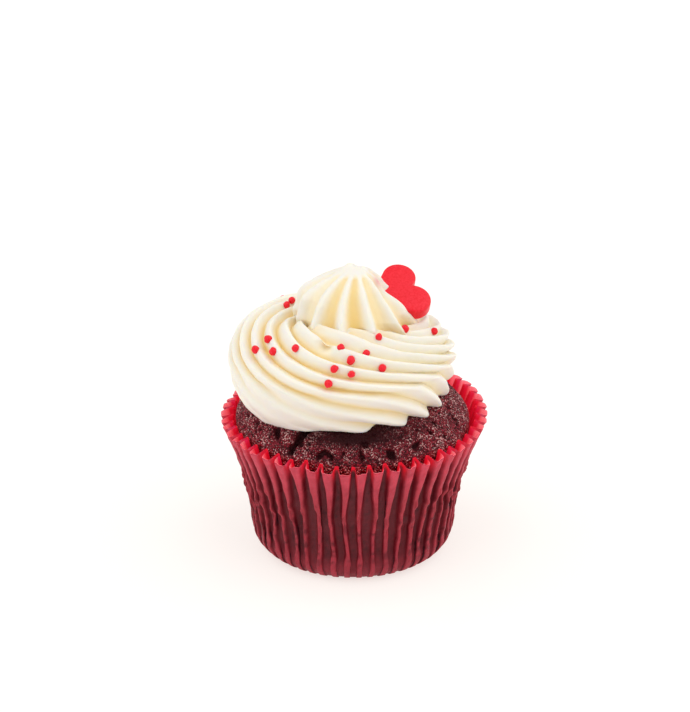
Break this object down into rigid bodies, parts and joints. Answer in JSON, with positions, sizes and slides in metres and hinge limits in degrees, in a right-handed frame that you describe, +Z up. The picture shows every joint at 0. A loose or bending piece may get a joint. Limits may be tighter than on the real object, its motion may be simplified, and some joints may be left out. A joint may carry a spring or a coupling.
{
  "type": "cupcake",
  "caption": "Cupcake in a pleated paper case, with a domed cake, a ridged ring and drop of piped icing, small sprinkles and a sugar heart.",
  "frame": {"origin": "middle of the flat base that the case stands on", "axes": "+Z up, +X to the right of the front view, +Y to the back"},
  "size_m": [0.0736, 0.0729, 0.082],
  "materials": {
    "paper": "matte greaseproof paper, darker where it is soaked",
    "crumb": "matte open crumb",
    "icing": "soft satin sheen",
    "sugar": "satin"
  },
  "bodies": {
    "root": {"paper_case": "paper", "cake": "crumb", "icing": "icing", "sugar_heart": "sugar"}
  },
  "joints": []
}
